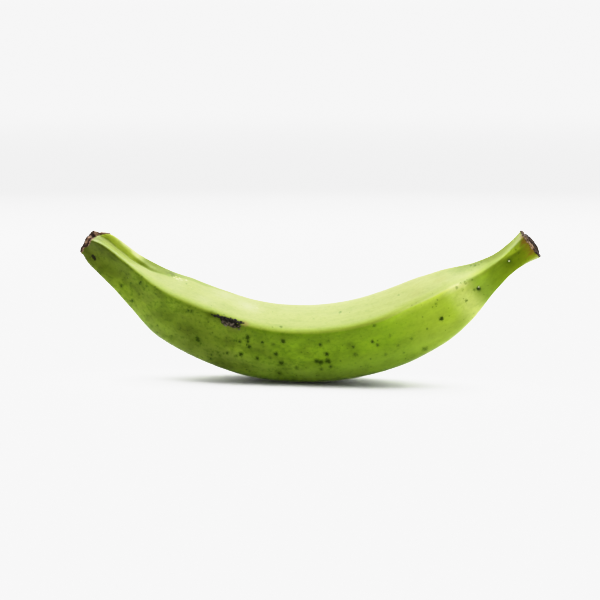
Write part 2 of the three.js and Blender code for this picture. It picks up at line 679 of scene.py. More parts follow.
@dataclass(frozen=True)
class GreenPeel:
    """Unripe peel: satin wax over green, freckled with dark spots, and paler on the two upper faces, partly in
    its own colour and partly as a painted sheen.
    """

    marks: tuple[Mark, ...]
    # The upper faces' green is partly the peel's own paler colour and partly a painted pale sheen of the light
    # overhead.
    upper_stops: tuple[tuple[float, Colour], ...] = (
        (0.00, (0.104, 0.128, 0.020)),
        (0.12, (0.121, 0.151, 0.028)),
        (0.28, (0.132, 0.163, 0.039)),
        (0.58, (0.145, 0.181, 0.042)),
        (0.76, (0.164, 0.192, 0.050)),
        (0.88, (0.140, 0.178, 0.042)),
        (0.93, (0.125, 0.158, 0.026)),
        (1.00, (0.100, 0.128, 0.014)),
    )
    lower_stops: tuple[tuple[float, Colour], ...] = (
        (0.00, (0.044, 0.059, 0.004)),
        (0.14, (0.086, 0.132, 0.007)),
        (0.20, (0.084, 0.130, 0.007)),
        (0.28, (0.069, 0.102, 0.006)),
        (0.50, (0.075, 0.132, 0.003)),
        (0.66, (0.096, 0.167, 0.004)),
        # From 0.80 to 0.878, the bright shoulder by the stalk: partly the peel's own lighter green, partly
        # painted light.
        (0.80, (0.167, 0.237, 0.013)),
        (0.845, (0.286, 0.342, 0.070)),
        (0.878, (0.109, 0.169, 0.012)),
        (0.91, (0.087, 0.137, 0.004)),
        (0.96, (0.074, 0.110, 0.0019)),
        (1.00, (0.094, 0.118, 0.0019)),
    )
    lower_tints: tuple[Tint, ...] = (
        # In the dull patches, and in the bright ones.
        Tint((0.72, 0.68, 0.90), ((Reading.PATCHES, DULL), (Reading.ALONG, TOWARDS_STALK))),
        Tint((1.12, 1.16, 0.90), ((Reading.PATCHES, BRIGHT),)),
        # Painted shade just below the upper ridges.
        Tint(
            (0.88, 0.90, 0.85),
            (
                (Reading.EDGE, span(-5.0, -1.5)),
                (Reading.EDGE, span(0.2, -0.8)),
                (Reading.ALONG, span(190.0, 140.0)),
            ),
        ),
        # Towards the belly.
        Tint((0.120, 0.165, 0.035), ((Reading.EDGE, span(-11.0, -24.0, 0.0, 0.22)),), "MIX"),
        # In the small dark clouds, and in the yet smaller ones.
        Tint((0.66, 0.70, 0.42), ((Reading.CLOUDS, Fade(0.46, 0.68)), (Reading.ALONG, TOWARDS_STALK))),
        Tint((0.62, 0.70, 0.40), ((Reading.FLECKS, Fade(0.51, 0.66)), (Reading.ALONG, TOWARDS_STALK))),
    )
    upper_tints: tuple[Tint, ...] = (
        # Just above the upper ridges, and painted shade in the furrow beside the crest.
        Tint((0.84, 0.92, 0.32), ((Reading.EDGE, span(5.5, 1.5)), (Reading.LIME, None))),
        Tint((0.85, 0.92, 0.35), ((Reading.FURROW, None),)),
    )
    upper_clouds: tuple[Tint, ...] = (
        Tint((0.66, 0.70, 0.42), ((Reading.CLOUDS, Fade(0.52, 0.70, 0.0, 0.25)),)),
        Tint((0.62, 0.70, 0.40), ((Reading.FLECKS, Fade(0.55, 0.68, 0.0, 0.25)),)),
    )
    ridge_painted_light: tuple[Tint, ...] = (
        # Painted light on the upper ridges by the shoulder, over the pale green that lies on their shaded
        # side.
        Tint(
            (1.60, 1.48, 2.50),
            (
                (Reading.EDGE, span(-4.0, -1.2)),
                (Reading.EDGE, span(1.6, -0.6)),
                (Reading.ALONG, span(182.0, 200.0)),
                (Reading.ALONG, span(246.0, 234.0)),
                (Reading.FORE, Fade(0.0, 1.0, 0.3, 1.0)),
            ),
        ),
        # Painted light on the stalk's front ridge, by the cut, over the pale green that lies on its shaded
        # side.
        Tint(
            (2.00, 1.95, 2.10),
            (
                (Reading.EDGE, span(-0.8, 0.4)),
                (Reading.EDGE, span(2.8, 1.6)),
                (Reading.ALONG, span(260.0, 269.0)),
                (Reading.ALONG, span(277.0, 272.0)),
                (Reading.FORE, None),
            ),
        ),
    )
    border: Fade = span(-0.8, 0.6)  # where the lower green gives way to the upper
    lime_ends: tuple[Fade, Fade] = (span(190.0, 225.0, 1.0, 0.35), span(236.0, 250.0))
    fore_side: Fade = span(-2.5, -0.5)

    crest: Colour = (0.67, 0.73, 0.29)  # what the skin is multiplied by between the furrow and the crest
    steep_crest_painted_light: Colour = (2.2, 2.2, 1.4)  # and where the furrow is deep: painted light, making up for the shade on the steep side of the crest
    crest_top_highlight: Colour = (0.40, 0.44, 0.22)  # a painted pale highlight on the very crest there
    crest_side: Fade = Fade(0.0, 0.2)  # how the crest's colour comes in
    crest_line: Fade = Fade(0.55, 1.0, 0.0, 0.7)  # and that of the painted highlight on the very crest
    steep_end: Fade = span(31.0, 20.0)  # how far along the furrow is deep

    stain: Colour = (0.090, 0.048, 0.004)  # next to the stalk's cut
    stain_width: float = 5.0 * MM
    stain_past: float = 0.5 * MM  # how far past the spine's end it is full
    stain_strength: float = 0.9
    stain_tongues: Fade = Fade(0.3, 0.7, -2.5 * MM, 2.5 * MM)
    stain_front: tuple[Fade, Fade] = (span(-9.0, -6.0, 0.15, 1.0), span(9.0, 5.5, 0.25, 1.0))

    streaks: Noise = Noise((14.0, 260.0, 260.0), 4.0, 0.6)
    patches: Noise = Noise((55.0, 110.0, 110.0), 3.0, 0.55)
    clouds: Noise = Noise((120.0, 170.0, 170.0), 3.0, 0.55)
    flecks: Noise = Noise((480.0, 620.0, 620.0), 3.0, 0.6)
    pores: Noise = Noise((420.0, 900.0, 900.0), 2.0)
    tongues: Noise = Noise((120.0, 700.0, 700.0), 2.0)
    grain: float = 1500.0  # lumps to the metre
    streak_tones: Fade = Fade(0.25, 0.75, 0.91, 1.07)
    pore_tones: Fade = Fade(0.3, 0.7, -0.05, 0.05)

    specks: tuple[Speckle, ...] = (
        Speckle(420.0, span(-2.0, 3.0, 0.26, 0.06), (0.12, 0.36), 0.62, 0.2),
        Speckle(240.0, span(-2.0, 3.0, 0.14, 0.01), (0.08, 0.24), 0.80, 0.2),
    )
    speck_crowding: Fade = Fade(0.42, 0.62, 0.3, 1.9)  # how much thicker they are in the dark clouds
    speck_shake: tuple[float, float] = (1100.0, 0.45 * MM)  # lumps to the metre, and how far they are shaken
    back_freckles: Speckle = Speckle(150.0, span(3.0, -4.0, 0.0, 0.20), (0.09, 0.20), 0.85, 0.3)
    back_shake: tuple[float, float] = (700.0, 0.5 * MM)
    mark_fall: float = 0.5  # how much of a mark's nearness is gone at its radius

    roughness: Fade = Fade(0.3, 0.7, 0.35, 0.46)
    matt_roughness: float = 0.35  # what is added where the skin is matt
    dry_neck: Fade = span(236.0, 258.0, 0.0, 0.85)  # how matt the skin grows along the stalk
    gloss: float = 0.09
    gloss_tint: Colour = (0.75, 0.95, 0.10)
    wax: float = 0.08
    wax_roughness: float = 0.30
    wax_ior: float = 1.25
    bloom: float = 0.30  # the pale bloom, seen where the skin turns away
    bloom_roughness: float = 0.30
    bloom_tint: Colour = (0.86, 1.0, 0.55)
    streak_depth: float = 0.10 * MM
    grain_depth: float = 0.012 * MM
    mark_depth: float = 0.08 * MM

    def material(self, skin: Skin) -> bpy.types.Material:
        """Builds the material.

        Args:
            skin: the surface that the marks lie on.

        Returns:
            The finished material.
        """
        shader = Shader("green_peel")
        grown = shader.attribute("unbent", "Vector")
        readings = self._readings(shader, grown)
        streaks = shader.noise(grown, self.streaks)
        colour = self._green(shader, readings, skin)
        pores = shader.fade(shader.noise(grown, self.pores), self.pore_tones)
        tone = shader.reckon("ADD", shader.fade(streaks, self.streak_tones), pores)
        colour = shader.blend(1.0, colour, shader.grey(tone), "MULTIPLY")
        colour = shader.blend(self._scorched(shader, grown, readings, skin), colour, self.stain)
        dark: Value = self._specks(shader, grown, readings)
        colour = shader.blend(dark, colour, Blemish.FRECKLE.value.colour)
        for kind in Blemish:
            there = self._marks(shader, grown, skin, kind)
            colour = shader.blend(there, colour, kind.value.colour, kind.value.how)
            if kind in DARK_MARKS:
                dark = shader.reckon("MAXIMUM", dark, there)

        relief = shader.bump(streaks, self.streak_depth)
        relief = shader.bump(shader.cloud(grown, self.grain, 2.0), self.grain_depth, relief)
        relief = shader.bump(shader.reckon("SUBTRACT", 1.0, dark), self.mark_depth, relief)
        matt = shader.reckon("MAXIMUM", dark, shader.fade(readings[Reading.ALONG], self.dry_neck))
        rough = shader.fade(readings[Reading.PATCHES], self.roughness)
        shader.set(
            Base_Color=colour,
            Roughness=shader.reckon("MULTIPLY_ADD", matt, self.matt_roughness, rough),
            Normal=relief,
            Coat_Normal=relief,
            Specular_IOR_Level=self.gloss,
            Specular_Tint=self.gloss_tint,
            Coat_Weight=shader.reckon("MULTIPLY", shader.reckon("SUBTRACT", 1.0, matt), self.wax),
            Coat_IOR=self.wax_ior,
            Coat_Roughness=self.wax_roughness,
            Sheen_Weight=self.bloom,
            Sheen_Roughness=self.bloom_roughness,
            Sheen_Tint=self.bloom_tint,
        )
        return shader.material

    def _readings(self, shader: Shader, grown: Socket) -> Readings:
        """What the tones are placed by.

        Args:
            shader: the material.
            grown: the place in the fruit as if it were straight.

        Returns:
            Each reading's socket.
        """
        along, _, forwards = shader.split(grown)
        return {
            Reading.ALONG: along,
            Reading.EDGE: shader.attribute("edge"),
            Reading.FORWARDS: forwards,
            Reading.FORE: shader.fade(forwards, self.fore_side),
            Reading.LIME: shader.reckon("MAXIMUM", *(shader.fade(along, fade) for fade in self.lime_ends)),
            Reading.FURROW: shader.attribute("furrow"),
            Reading.CREST: shader.attribute("crest"),
            Reading.PATCHES: shader.noise(grown, self.patches),
            Reading.CLOUDS: shader.noise(grown, self.clouds),
            Reading.FLECKS: shader.noise(grown, self.flecks),
        }

    def _green(self, shader: Shader, readings: Readings, skin: Skin) -> Socket:
        """The green of the lower and the upper faces and of the ridges between them, with painted shade in the
        furrows and below the upper ridges, and painted light on the crest and the upper ridges.

        Args:
            shader: the material.
            readings: what the tones are placed by.
            skin: the fruit's surface.

        Returns:
            The colour.
        """
        share = shader.reckon("DIVIDE", readings[Reading.ALONG], skin.spine.length)
        lower = self._tinted(shader, readings, shader.ramp(share, self.lower_stops), self.lower_tints)
        upper = self._tinted(shader, readings, shader.ramp(share, self.upper_stops), self.upper_tints)

        crest = readings[Reading.CREST]
        # Painted light on the steep crest by the blossom end, and a painted highlight on its very top.
        steep = shader.product(shader.fade(readings[Reading.ALONG], self.steep_end), readings[Reading.FORE])
        tone = shader.blend(steep, self.crest, self.steep_crest_painted_light)
        upper = shader.blend(shader.fade(crest, self.crest_side), upper, tone, "MULTIPLY")
        top = shader.product(steep, shader.fade(crest, self.crest_line))
        upper = shader.blend(top, upper, self.crest_top_highlight)
        upper = self._tinted(shader, readings, upper, self.upper_clouds)

        colour = shader.blend(shader.fade(readings[Reading.EDGE], self.border), lower, upper)
        return self._tinted(shader, readings, colour, self.ridge_painted_light)

    def _tinted(self, shader: Shader, readings: Readings, colour: Socket, tints: Sequence[Tint]) -> Socket:
        """Lays tints over a colour, one after another.

        Args:
            shader: the material.
            readings: what the tones are placed by.
            colour: the colour beneath.
            tints: the tints.

        Returns:
            The colour with the tints on it.
        """
        for tint in tints:
            shares = []
            for name, fade in tint.where:
                shares.append(readings[name] if fade is None else shader.fade(readings[name], fade))
            colour = shader.blend(shader.product(*shares), colour, tint.colour, tint.how)
        return colour

    def _scorched(self, shader: Shader, grown: Socket, readings: Readings, skin: Skin) -> Socket:
        """The scorched skin next to the cut, in tongues and mostly by the front ridge.

        Args:
            shader: the material.
            grown: the place in the fruit as if it were straight.
            readings: what the tones are placed by.
            skin: the fruit's surface.

        Returns:
            How scorched it is, from 0 to 1.
        """
        tongues = shader.fade(shader.noise(grown, self.tongues), self.stain_tongues)
        ragged = shader.reckon("ADD", readings[Reading.ALONG], tongues)
        end = skin.spine.length
        stain = Fade(end - self.stain_width, end + self.stain_past, 0.0, self.stain_strength)
        edge = readings[Reading.EDGE]
        front = (shader.fade(edge, fade) for fade in self.stain_front)
        return shader.product(shader.fade(ragged, stain), *front)

    def _specks(self, shader: Shader, grown: Socket, readings: Readings) -> Socket:
        """Small dark specks, thicker on the lower faces and in the dark clouds, and the back's freckles.

        Args:
            shader: the material.
            grown: the place in the fruit as if it were straight.
            readings: what the tones are placed by.

        Returns:
            How much of them there is, from 0 to 1.
        """
        thick = shader.fade(readings[Reading.CLOUDS], self.speck_crowding)
        shaken = shader.wobble(grown, *self.speck_shake)
        found = []
        for specks in self.specks:
            share = shader.product(shader.fade(readings[Reading.EDGE], specks.shares), thick)
            found.append(self._dots(shader, shaken, specks, share))
        share = shader.fade(readings[Reading.FORWARDS], self.back_freckles.shares)
        shaken = shader.wobble(grown, *self.back_shake)
        back = self._dots(shader, shaken, self.back_freckles, share)
        return shader.reckon("MAXIMUM", shader.reckon("MAXIMUM", *found), back)

    def _dots(self, shader: Shader, shaken: Socket, specks: Speckle, share: Socket) -> Socket:
        """Dots at random.

        Args:
            shader: the material.
            shaken: where they are drawn.
            specks: their kind.
            share: the share of the cells that have one.

        Returns:
            How much of a dot there is, from 0 to 1.
        """
        gap, first, second = shader.cells(shaken, specks.cells)
        size = shader.ease(second, 0.0, 1.0, *specks.sizes)
        near = shader.ease(gap, size, shader.reckon("MULTIPLY", size, specks.core), 0.0, specks.strength)
        return shader.product(near, shader.reckon("LESS_THAN", first, share))

    def _marks(self, shader: Shader, grown: Socket, skin: Skin, kind: Blemish) -> Socket:
        """All marks of one kind.

        Args:
            shader: the material.
            grown: the place in the fruit as if it were straight.
            skin: the surface that the marks lie on.
            kind: their kind. Halos lie round the freckles.

        Returns:
            How much of them there is, from 0 to 1.
        """
        pigment = kind.value
        marked = Blemish.FRECKLE if kind is Blemish.HALO else kind
        squeeze = np.array((1.0 / pigment.length, 1.0, 1.0))
        place = shader.stretch(shader.wobble(grown, 1.0 / pigment.lump, pigment.ragged), squeeze)
        nearest: Value = 0.0
        for mark in self.marks:
            if mark.kind is marked:
                point, _ = skin.spot(mark.along, mark.turn)
                middle = skin.spine.unbent(np.array([point]))[0] * squeeze
                slope = -self.mark_fall * mark.depth / (mark.size * MM)
                nearness = shader.reckon("MULTIPLY_ADD", shader.gap(place, middle), slope, mark.depth)
                nearest = shader.reckon("MAXIMUM", nearest, nearness)
        return shader.ease(nearest, *pigment.edge, 0.0, pigment.strength)


@dataclass(frozen=True)
class DeadTissue:
    """Dried plant tissue: dark in its cracks, paler on what stands proud, and matt all over."""

    name: str
    deep: Colour
    body: Colour
    proud: Colour
    patch_width: float = 1.6 * MM
    grain_width: float = 0.30 * MM
    grain_rise: Fade = Fade(0.2, 0.8, -0.22, 0.22)
    body_rise: Fade = Fade(0.25, 0.55)
    proud_rise: Fade = Fade(0.45, 0.80)
    proud_patches: Fade = Fade(0.36, 0.58)
    burnt_patches: Fade = Fade(0.3, 0.7, 0.25, -0.25)
    burnt: Fade = Fade(0.25, 0.75, 0.0, 0.92)
    roughness: Fade = Fade(0.3, 0.7, 0.75, 0.93)
    gloss: float = 0.08
    relief: float = 0.15 * MM

    def material(self) -> bpy.types.Material:
        """Builds the material, which reads what the mesh carries: "rise" and "scorch", both from 0 to 1.

        Returns:
            The finished material.
        """
        shader = Shader(self.name)
        place = shader.place()
        patches = shader.cloud(place, 1.0 / self.patch_width, 3.0, 0.6)
        grain = shader.cloud(place, 1.0 / self.grain_width, 3.0, 0.6)
        high = shader.reckon("ADD", shader.attribute("rise"), shader.fade(grain, self.grain_rise))
        colour = shader.blend(shader.fade(high, self.body_rise), self.deep, self.body)
        pale = shader.product(shader.fade(high, self.proud_rise), shader.fade(patches, self.proud_patches))
        colour = shader.blend(pale, colour, self.proud)
        burnt = shader.reckon("ADD", shader.attribute("scorch"), shader.fade(patches, self.burnt_patches))
        colour = shader.blend(shader.fade(burnt, self.burnt), colour, self.deep)
        shader.set(
            Base_Color=colour,
            Roughness=shader.fade(grain, self.roughness),
            Normal=shader.bump(grain, self.relief),
            Specular_IOR_Level=self.gloss,
        )
        return shader.material


class Tissue(Enum):
    """The dead parts' finishes."""

    CUT_STALK = DeadTissue(
        "cut_stalk", (0.010, 0.005, 0.003), (0.070, 0.032, 0.009), (0.26, 0.175, 0.10), 0.6 * MM
    )
    BLOSSOM = DeadTissue(
        "withered_blossom", (0.013, 0.006, 0.004), (0.075, 0.037, 0.018), (0.210, 0.128, 0.080)
    )
    SCAB = DeadTissue("cork_scab", (0.003, 0.0025, 0.0005), (0.012, 0.010, 0.003), (0.075, 0.060, 0.044))


@dataclass(frozen=True)
class DriedSap:
    """A dried bead of milky sap."""

    colour: Colour = (0.40, 0.44, 0.24)
    clouded: Colour = (0.26, 0.26, 0.13)
    lumps: float = 1800.0  # to the metre
    clouding: Fade = Fade(0.3, 0.7, 0.0, 0.5)
    roughness: Fade = Fade(0.3, 0.7, 0.2, 0.35)
    relief: float = 0.04 * MM

    def material(self) -> bpy.types.Material:
        """Builds the material.

        Returns:
            The finished material.
        """
        shader = Shader("dried_sap")
        cloud = shader.cloud(shader.place(), self.lumps)
        shader.set(
            Base_Color=shader.blend(shader.fade(cloud, self.clouding), self.colour, self.clouded),
            Roughness=shader.fade(cloud, self.roughness),
            Normal=shader.bump(cloud, self.relief),
        )
        return shader.material


@dataclass(frozen=True)
class Paper:
    """The matt white paper that the fruit lies on, which far away fades into the pale surround."""

    colour: Colour = (0.72, 0.72, 0.72)
    near: float = 0.3  # where the fade starts, in metres from the fruit
    middle: float = 1.6
    far: float = 10.0  # where nothing but the surround is left
    middle_light: float = 1.20
    lumps: float = 400.0  # of its grain, to the metre
    grain: Fade = Fade(0.3, 0.7, 0.985, 1.0)
    roughness: Fade = Fade(0.3, 0.7, 0.85, 0.95)
    relief: float = 0.02 * MM

    def material(self, surround: float) -> bpy.types.Material:
        """Builds the material.

        Args:
            surround: how bright the surround is at the horizon.

        Returns:
            The finished material.
        """
        shader = Shader("white_paper")
        place = shader.place()
        grain = shader.cloud(place, self.lumps)
        distance = shader.gap(place, (0.0, 0.0, 0.0))
        fade = shader.ease(distance, self.near, self.middle)
        glow = shader.ease(distance, self.middle, self.far, self.middle_light, surround)
        paper = shader.blend(shader.fade(grain, self.grain), BLACK, self.colour)
        shader.set(
            Base_Color=shader.blend(fade, paper, BLACK),
            Roughness=shader.fade(grain, self.roughness),
            Specular_IOR_Level=0.0,
            Normal=shader.bump(grain, self.relief),
            Emission_Color=WHITE,
            Emission_Strength=shader.product(fade, glow),
        )
        return shader.material


# ---- The fruit ----

# Along, turn, size and depth of each mark.
PLACES = {
    Blemish.FRECKLE: (
        (29, 117, 0.9, 0.8), (37, 75, 0.9, 0.9), (33, 92, 0.6, 0.6), (41, 73, 0.6, 0.7), (39, 125, 0.8, 0.8),
        (58, 124, 0.7, 0.6), (72, 69, 1.0, 0.8), (72, 87, 0.6, 0.5), (81, 108, 1.6, 0.8),
        (91, 124, 0.9, 0.7), (97, 115, 0.7, 0.7), (85, 113, 0.9, 0.5), (104, 87, 1.0, 0.8),
        (106, 108, 1.1, 0.85), (101, 108, 0.6, 0.6), (108, 78, 1.2, 0.95), (110, 92, 1.1, 0.85),
        (115, 109, 1.0, 0.9), (117, 81, 0.9, 0.8), (123, 82, 0.9, 0.6), (122, 106, 0.9, 0.6),
        (125, 98, 1.2, 0.85), (127, 130, 1.1, 0.7), (128, 113, 1.3, 0.9), (129, 76, 1.2, 0.95),
        (136, 120, 1.1, 0.6), (132, 92, 0.8, 0.4), (147, 109, 1.2, 0.9), (149, 111, 1.2, 1.0),
        (149, 123, 0.8, 0.7), (150, 82, 1.0, 0.8), (153, 98, 1.1, 0.9), (153, 110, 1.3, 0.95),
        (154, 120, 0.9, 0.7), (155, 77, 0.8, 0.6), (168, 92, 1.0, 0.7), (168, 105, 1.0, 0.7),
        (179, 92, 1.0, 0.75), (181, 99, 0.9, 0.7), (183, 70, 0.8, 0.7), (188, 94, 0.6, 0.5),
        (191, 112, 0.8, 0.6), (192, 126, 0.7, 0.5), (199, 111, 0.7, 0.6), (202, 135, 0.7, 0.6),
        (218, 105, 1.0, 1.0), (220, 78, 0.6, 0.5), (234, 106, 0.7, 0.7), (241, 95, 0.7, 0.6),
        (243, 101, 1.1, 0.9), (265, 86, 1.1, 0.8), (239, 67, 0.7, 0.5), (163, 26, 0.9, 0.55),
        (127, 55, 0.7, 0.7), (146, 36, 0.6, 0.35), (202, 27, 0.7, 0.5), (145, 30, 0.4, 0.4),
        (122, 57, 0.5, 0.5), (248, 13, 0.8, 0.6), (246, 10, 0.5, 0.6), (32.5, 92, 0.8, 0.6),
        (70, 71, 0.9, 0.7), (83.4, 113, 0.8, 0.7), (91.2, 131, 0.8, 0.8), (93.7, 117, 0.8, 0.7),
        (98.9, 113, 0.8, 0.8), (108.4, 84, 0.9, 0.8), (123.8, 82, 0.8, 0.6), (126.7, 86, 0.7, 0.5),
        (103.7, 113, 0.7, 0.7), (90.8, 98, 0.7, 0.5), (97, 126, 0.7, 0.6), (183.4, 119, 0.8, 0.5),
        (189.3, 91, 0.8, 0.5), (82, 110, 0.9, 0.8), (166.5, 88, 1.6, 0.45), (202.5, 137, 1.5, 0.5),
        (102, 88, 0.8, 0.7), (105.5, 81, 0.7, 0.6), (108.5, 89, 0.8, 0.7), (91, 118, 0.7, 0.6),
        (95.5, 121, 0.9, 0.7), (99, 112, 0.7, 0.6), (101, 99, 0.6, 0.6), (248, 12, 0.6, 0.6),
        (250, 18, 0.5, 0.5), (252, 10, 0.5, 0.5), (237, 66, 0.7, 0.55), (239, 72, 0.6, 0.5),
        (234, 70, 0.6, 0.5), (236, 80, 0.5, 0.5),
    ),
    Blemish.BLOTCH: (
        (60, 98, 4.0, 0.85), (81, 109, 3.2, 0.8), (8, 74, 2.4, 0.8), (15, 72, 2.6, 0.7), (33, 96, 3.5, 0.5),
        (96, 137, 5.0, 0.6), (107, 132, 5.0, 0.6), (83, 118, 4.0, 0.5), (265, 86, 2.6, 0.9),
        (20, 95, 4.0, 0.6), (150, 112, 4.5, 0.55), (168, 98, 3.0, 0.45), (47, 5, 1.6, 1.0),
        (84, 62, 1.8, 1.0), (190, 320, 5.0, 0.6), (90, 250, 6.0, 0.6), (140, 205, 6.0, 0.6),
        (89, 118, 6.0, 0.5), (76, 126, 6.0, 0.4), (86, 94, 5.0, 0.35), (240, 80, 3.2, 0.55),
        (236, 76, 2.6, 0.45), (271, 78, 3.4, 0.7), (267, 84, 3.0, 0.5), (262, 80, 3.0, 0.5),
        (255, 82, 3.2, 0.45), (74, 103, 5.0, 0.8), (80, 112, 5.0, 0.45), (80, 98, 6.0, 0.6),
        (86, 104, 6.0, 0.5), (1.5, 42, 2.2, 0.8), (240, 14, 5.0, 0.5), (4, 46, 1.8, 0.5),
    ),
    Blemish.CHALK: (
        (54, 12, 1.6, 0.4), (102, 18, 4.5, 0.6), (85, 9, 3.5, 0.4), (75, 40, 3.0, 0.3), (130, 330, 5.0, 0.5),
    ),
    Blemish.PALE: (
        (142, 100, 6.0, 1.0), (141, 122, 5.0, 0.7), (106, 125, 4.0, 0.6), (176, 103, 4.0, 0.5),
        (246, 66, 5.0, 0.8), (210, 240, 8.0, 0.7), (120, 270, 7.0, 0.7), (101, 104, 5.0, 0.8),
        (44, 122, 4.5, 0.8), (28, 118, 4.0, 0.7),
    ),
    Blemish.SCUFF: (
        (49.6, 11.0, 0.30, 1.0), (50.6, 7.0, 0.25, 0.9), (52.0, 12.0, 0.30, 1.0), (53.4, 8.0, 0.30, 1.0),
        (55.0, 12.0, 0.28, 0.8), (58.0, 8.0, 0.4, 0.7), (108.0, 17.0, 0.35, 0.6), (63.0, 22.0, 0.35, 0.6),
    ),
    Blemish.SAPPY: (
        (46.4, 10.0, 1.2, 1.0), (49.0, 9.0, 0.6, 0.9), (241.0, 24.0, 2.2, 0.35), (234.0, 14.0, 2.6, 0.35),
    ),
    Blemish.RUST: (
        (104.6, 58.5, 1.5, 1.0), (212, 41, 4.0, 0.35), (228, 30, 3.5, 0.4), (63, 29, 1.0, 0.4),
        (97, 66, 4.0, 0.4),
    ),
    Blemish.SCRATCH: (
        (5.4, 110, 0.8, 1.0), (6.5, 111.5, 0.9, 1.0), (7.6, 113, 0.8, 1.0), (243.2, 101, 0.55, 1.0),
        (84.0, 62, 0.5, 0.9),
    ),
}
MARKS = tuple(Mark(*numbers, kind) for kind, places in PLACES.items() for numbers in places)


@dataclass
class Peel:
    """The green skin over the whole fruit."""

    spine: Spine
    smoothing: int = 2
    welded: float = 1e-6  # points closer than this are joined
    dent: float = 0.12 * MM  # how deep the soft dents all over it are
    dent_width: float = 14 * MM
    furrow_line: tuple[tuple[float, float], ...] = (
        (0.0, 1.6), (4.0, 2.1), (13.0, 2.9), (20.0, 3.3), (28.0, 4.3), (36.0, 6.0), (43.0, 5.4), (56.0, 4.2),
        (120.0, 3.4),
    )  # millimetres along, and how far the furrow runs from the crest
    furrow_strength: tuple[tuple[float, float], ...] = (
        (0.0, 0.7), (6.0, 1.0), (30.0, 1.0), (40.0, 0.45), (48.0, 0.12), (56.0, 0.0),
    )  # millimetres along, and how strong it is
    edge_shift: tuple[tuple[float, float], ...] = (
        (0.0, 0.0), (190.0, 0.0), (205.0, -1.2), (234.0, -1.2), (241.0, 0.0), (248.0, 0.6), (256.0, 0.6),
        (263.0, 0.9), (267.0, 1.4), (271.0, 2.2), (279.0, 2.8),
    )  # millimetres along, and how far below the upper ridges the upper faces' pale green starts
    furrow_wander: float = 0.3 * MM
    furrow_lumps: float = 5 * MM  # how long its bends are
    furrow_depth: float = 0.50 * MM
    furrow_width: float = 0.75 * MM
    crest_rise: float = 0.70 * MM  # how far the skin swells between the furrow and the crest
    crest_from_furrow: float = 1.9 * MM  # where it swells most
    crest_width: float = 1.3 * MM
    resting: tuple[float, float] = (0.2 * MM, 2.0 * MM)  # up to what heights the skin lies smooth
    tone_inner: float = 0.9 * MM  # how softly the furrow's painted shade fades towards the crest
    tone_outer: float = 0.35 * MM  # and away from it
    tone_widening: float = 0.65 * MM
    tone_widens: tuple[float, float] = (34 * MM, 46 * MM)  # along the fruit
    crest_tone: float = 2.4 * MM  # how far inside the furrow the crest's colour and its painted light are full
    crest_ends: tuple[float, float] = (60 * MM, 100 * MM)  # along the fruit

    def build(self, node: bpy.types.Object) -> bpy.types.Object:
        """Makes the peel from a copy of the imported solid.

        Args:
            node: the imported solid, which stays as it is.

        Returns:
            The peel, without a material.
        """
        piece = copy_of(node, "green_peel")
        pick(piece)
        bpy.ops.mesh.customdata_custom_splitnormals_clear()
        with editing(piece):
            bpy.ops.mesh.remove_doubles(threshold=self.welded)
            bpy.ops.mesh.tris_convert_to_quads()
        apply_modifier(piece, "SUBSURF", levels=self.smoothing, render_levels=self.smoothing)

        points = points_of(piece)
        past, strength = self.furrow(points)
        cut = self.furrow_depth * bell(past, 0.0, self.furrow_width)
        swell = self.crest_rise * bell(past, -self.crest_from_furrow, self.crest_width)
        height = self.dent * lumps(points, self.dent_width, 3.0) + (swell - cut) * strength**2
        free = step(points[:, 2], *self.resting)
        move_points(piece, points + normals_of(piece) * (height * free)[:, None])
        self.map_skin(piece, past, strength)
        return piece

    def furrow(self, points: np.ndarray) -> tuple[np.ndarray, np.ndarray]:
        """Where the furrows beside the crest are.

        Args:
            points: rows of x, y and z.

        Returns:
            How far each point lies past the furrow, in metres and negative on the crest's side, and how
            strong the furrow is there.
        """
        along, turn, radius = self.spine.locate(points)
        from_crest = np.radians(np.abs(self.spine.unwound(along, turn) - self.spine.ridges[0])) * radius
        line, strength = (
            np.interp(along / MM, *np.array(rows).T) for rows in (self.furrow_line, self.furrow_strength)
        )
        return from_crest - line * MM + self.furrow_wander * lumps(points, self.furrow_lumps, 12.0), strength

    def map_skin(self, piece: bpy.types.Object, past: np.ndarray, strength: np.ndarray) -> None:
        """Stores the fruit's own coordinates on a piece's points, for its material.

        unbent is the place in the fruit as if it were straight. edge is how far the point lies above where
        the upper faces' pale green starts, by the nearer of the two upper ridges, negative below it. furrow
        is 1 in the furrows beside the crest and 0 away from them. crest is 1 on the crest between them and
        0 from the furrows outwards.

        Args:
            piece: the piece.
            past: how far each point lies past the furrow.
            strength: how strong the furrow is there.
        """
        points = points_of(piece)
        along, turn, radius = self.spine.locate(points)
        turn = self.spine.unwound(along, turn)
        front, back = self.spine.ridges[1], self.spine.ridges[4] - 360.0
        store(piece, "unbent", self.spine.unbent(points))
        shift = np.interp(along / MM, *np.array(self.edge_shift).T) * MM
        store(piece, "edge", np.radians(np.minimum(front - turn, turn - back)) * radius + shift)
        outer = self.tone_outer + self.tone_widening * step(along, *self.tone_widens)
        store(piece, "furrow", bell(past, 0.0, np.where(past < 0, self.tone_inner, outer)) * strength)
        between = np.clip(-past / self.crest_tone, 0.0, 1.0)
        store(piece, "crest", between * (1.0 - step(along, *self.crest_ends)))


@dataclass
class Place:
    """Places on the fruit: millimetres along it, degrees round it, metres from the spine, and points."""

    along: np.ndarray
    turn: np.ndarray
    radius: np.ndarray
    points: np.ndarray

    @classmethod
    def of(cls, spine: Spine, points: np.ndarray) -> "Place":
        """Finds where rows of x, y and z are on the fruit."""
        along, turn, radius = spine.locate(points)
        return cls(along / MM, turn, radius, points)


